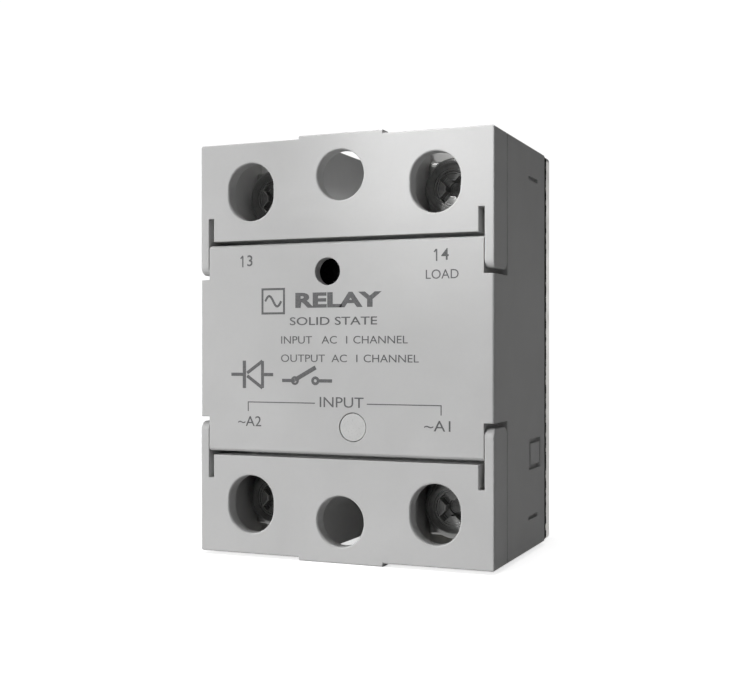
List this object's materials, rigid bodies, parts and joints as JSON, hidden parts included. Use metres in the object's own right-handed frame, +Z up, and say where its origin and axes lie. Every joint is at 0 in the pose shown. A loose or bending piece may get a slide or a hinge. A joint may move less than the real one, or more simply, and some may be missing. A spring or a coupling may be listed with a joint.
{
  "type": "solid state relay",
  "caption": "Panel-mount solid state relay with hinged touch guards, clamp-screw terminals and a metal heat-sink plate.",
  "frame": {"origin": "centre of the base plate's back face, the face that lies on the heat sink", "axes": "+Z up along the line of the two mounting holes, towards the load terminals; +Y out of the back face into the heat sink; the front faces -Y; X to the right seen from the front"},
  "size_m": [0.044, 0.029, 0.059],
  "materials": {
    "case_plastic": "light grey fine-textured moulded polycarbonate",
    "guard_plastic": "light grey fine-textured moulded polycarbonate",
    "plate_metal": "nickel-plated, finely brushed",
    "seal_black": "black adhesive sealant",
    "screw_steel": "nickel-plated steel",
    "clamp_steel": "zinc-plated steel",
    "nut_steel": "zinc-plated steel",
    "lug_brass": "tin-plated brass",
    "solder": "dull solder",
    "alumina": "white alumina",
    "copper": "bare copper",
    "silicon": "polished silicon",
    "board_green": "solder-masked glass epoxy",
    "epoxy_black": "moulded epoxy",
    "capacitor_sleeve": "heat-shrink sleeve",
    "resistor_blue": "lacquered",
    "resistor_grey": "flameproof coating",
    "film_capacitor": "yellow box film capacitor",
    "varistor_blue": "epoxy-dipped disc",
    "led_green": "green diffused",
    "lens_clear": "milky light-guide plastic",
    "gel_clear": "soft silicone gel",
    "resin_black": "black potting resin",
    "marking_ink": "dark grey pad-printed ink"
  },
  "bodies": {
    "relay": {"base_plate": "plate_metal", "housing": "case_plastic", "seal_bead": "seal_black", "load_lug_left": "lug_brass", "load_lug_right": "lug_brass", "input_lug_left": "lug_brass", "input_lug_right": "lug_brass", "terminal_nuts": "nut_steel", "solder_layer": "solder", "ceramic_substrate": "alumina", "copper_tracks": "copper", "thyristor_die_left": "silicon", "thyristor_die_right": "silicon", "die_clips": "copper", "gate_pins": "lug_brass", "control_board": "board_green", "optocoupler": "epoxy_black", "bridge_rectifier": "epoxy_black", "input_capacitor": "capacitor_sleeve", "input_resistors": "resistor_blue", "snubber_resistor": "resistor_grey", "snubber_capacitor": "film_capacitor", "varistor": "varistor_blue", "indicator_led": "led_green", "light_pipe": "lens_clear", "silicone_gel": "gel_clear", "resin_fill": "resin_black"},
    "upper_flap": {"upper_guard": "guard_plastic"},
    "lower_flap": {"lower_guard": "guard_plastic"},
    "load_clamp_left_body": {"load_clamp_left": "clamp_steel"},
    "load_screw_left_body": {"load_screw_left": "screw_steel"},
    "load_clamp_right_body": {"load_clamp_right": "clamp_steel"},
    "load_screw_right_body": {"load_screw_right": "screw_steel"},
    "input_clamp_left_body": {"input_clamp_left": "clamp_steel"},
    "input_screw_left_body": {"input_screw_left": "screw_steel"},
    "input_clamp_right_body": {"input_clamp_right": "clamp_steel"},
    "input_screw_right_body": {"input_screw_right": "screw_steel"}
  },
  "joints": [
    {"name": "upper_flap_hinge", "type": "hinge", "parent": "relay", "child": "upper_flap", "pos_m": [0, -0.027, 0.012], "axis": [1, 0, 0], "range_deg": [0, 90]},
    {"name": "lower_flap_hinge", "type": "hinge", "parent": "relay", "child": "lower_flap", "pos_m": [0, -0.027, -0.012], "axis": [-1, 0, 0], "range_deg": [0, 90]},
    {"name": "load_clamp_left_lift", "type": "slide", "parent": "relay", "child": "load_clamp_left_body", "axis": [0, -1, 0], "range_m": [0, 0.004]},
    {"name": "load_screw_left_turn", "type": "hinge", "parent": "load_clamp_left_body", "child": "load_screw_left_body", "pos_m": [-0.01385, -0.0186, 0.0221], "axis": [0, -1, 0], "range_deg": [0, 1801]},
    {"name": "load_clamp_right_lift", "type": "slide", "parent": "relay", "child": "load_clamp_right_body", "axis": [0, -1, 0], "range_m": [0, 0.004]},
    {"name": "load_screw_right_turn", "type": "hinge", "parent": "load_clamp_right_body", "child": "load_screw_right_body", "pos_m": [0.01385, -0.0186, 0.0221], "axis": [0, -1, 0], "range_deg": [0, 1801]},
    {"name": "input_clamp_left_lift", "type": "slide", "parent": "relay", "child": "input_clamp_left_body", "axis": [0, -1, 0], "range_m": [0, 0.004]},
    {"name": "input_screw_left_turn", "type": "hinge", "parent": "input_clamp_left_body", "child": "input_screw_left_body", "pos_m": [-0.01385, -0.0186, -0.0221], "axis": [0, -1, 0], "range_deg": [0, 1801]},
    {"name": "input_clamp_right_lift", "type": "slide", "parent": "relay", "child": "input_clamp_right_body", "axis": [0, -1, 0], "range_m": [0, 0.004]},
    {"name": "input_screw_right_turn", "type": "hinge", "parent": "input_clamp_right_body", "child": "input_screw_right_body", "pos_m": [0.01385, -0.0186, -0.0221], "axis": [0, -1, 0], "range_deg": [0, 1801]}
  ],
  "couplings": [
    {"joint": "load_screw_left_turn", "follows": "load_clamp_left_lift", "rad_per_m": 7854},
    {"joint": "load_screw_right_turn", "follows": "load_clamp_right_lift", "rad_per_m": 7854},
    {"joint": "input_screw_left_turn", "follows": "input_clamp_left_lift", "rad_per_m": 7854},
    {"joint": "input_screw_right_turn", "follows": "input_clamp_right_lift", "rad_per_m": 7854}
  ]
}
